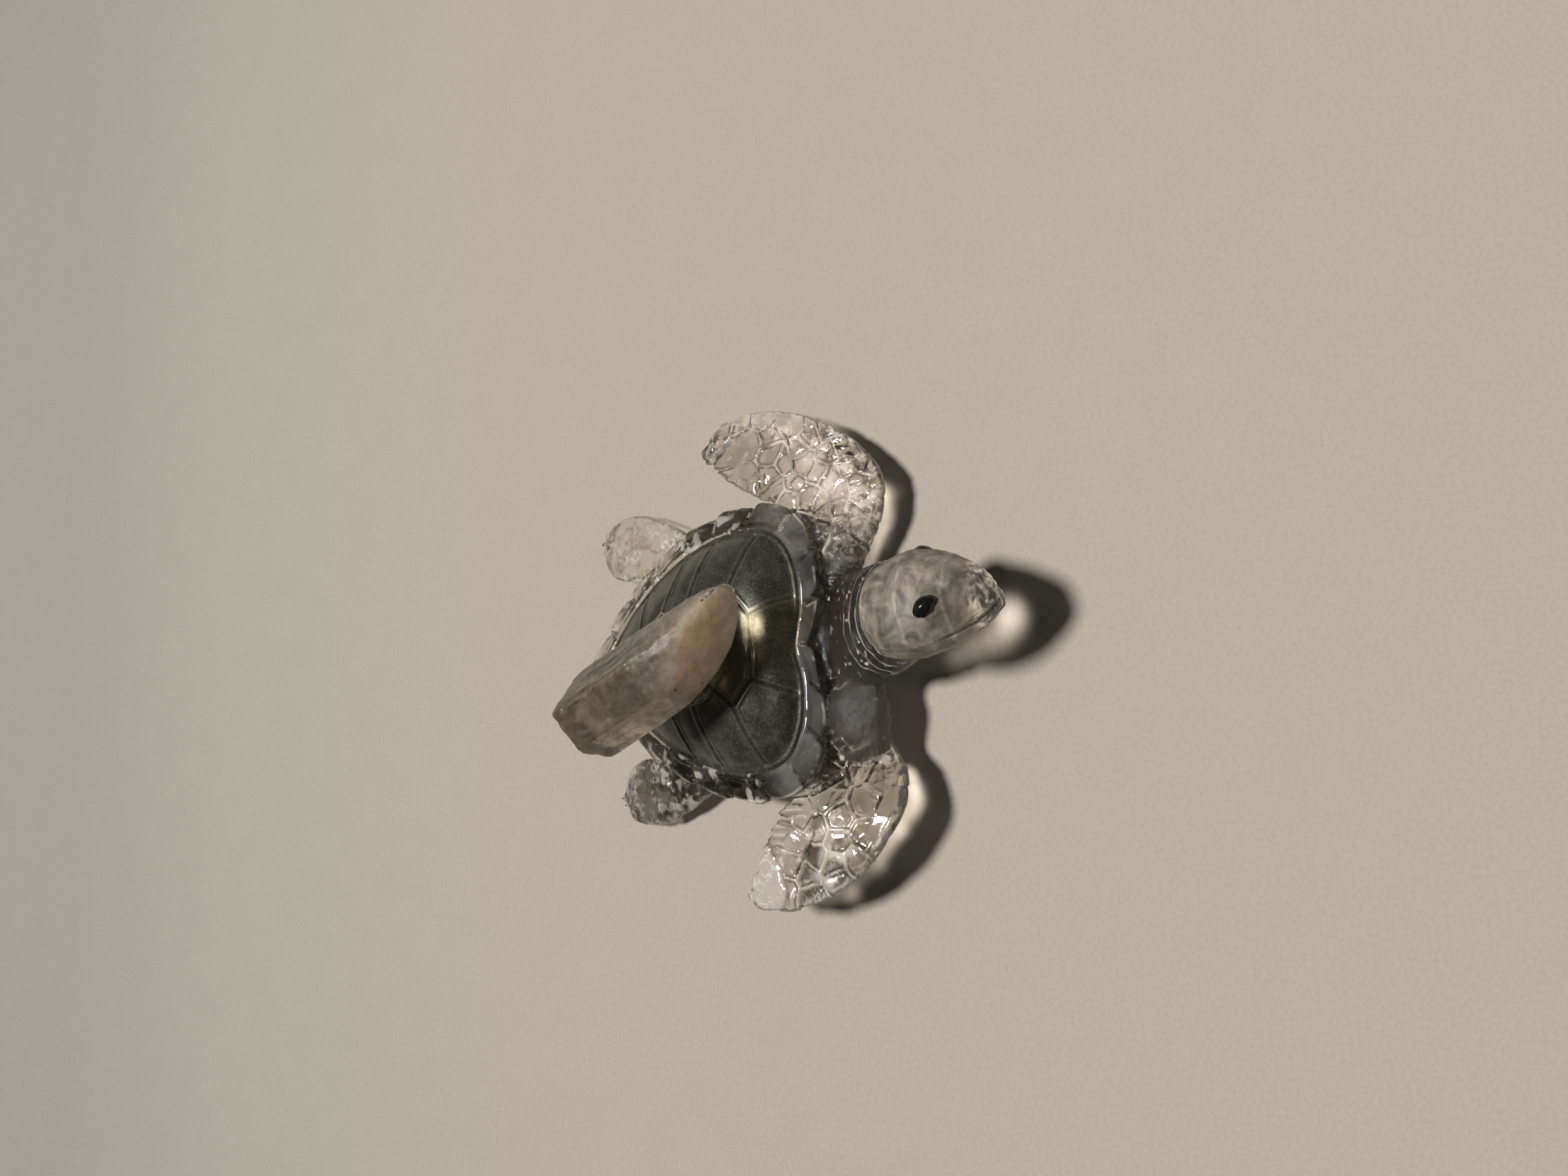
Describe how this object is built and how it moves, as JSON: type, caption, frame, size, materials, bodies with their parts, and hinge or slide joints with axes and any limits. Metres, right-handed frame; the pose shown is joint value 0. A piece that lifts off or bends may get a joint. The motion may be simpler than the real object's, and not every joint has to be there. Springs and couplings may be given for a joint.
{
  "type": "turtle figurine",
  "caption": "Small sea turtle figurine cast in clear resin, with a dark metallic shell insert, black eyes and a quartz point glued across its back.",
  "frame": {"origin": "the middle of the flat belly face that the turtle rests on", "axes": "-Z out of the belly face, -Y towards the head, +X the turtle's left side"},
  "size_m": [0.0517, 0.0519, 0.0218],
  "materials": {
    "clear_resin": "clear cast resin, glossy, with fine moulded skin scales",
    "metallic_resin": "satin resin with dark metallic mica pigment",
    "black_gloss": "gloss black",
    "frosted_quartz": "natural quartz, partly frosted, warm beige",
    "clear_glue": "clear cured adhesive"
  },
  "bodies": {
    "root": {"resin_body": "clear_resin", "shell_cap": "metallic_resin", "left_eye": "black_gloss", "right_eye": "black_gloss", "quartz_point": "frosted_quartz", "crystal_glue": "clear_glue"}
  },
  "joints": []
}
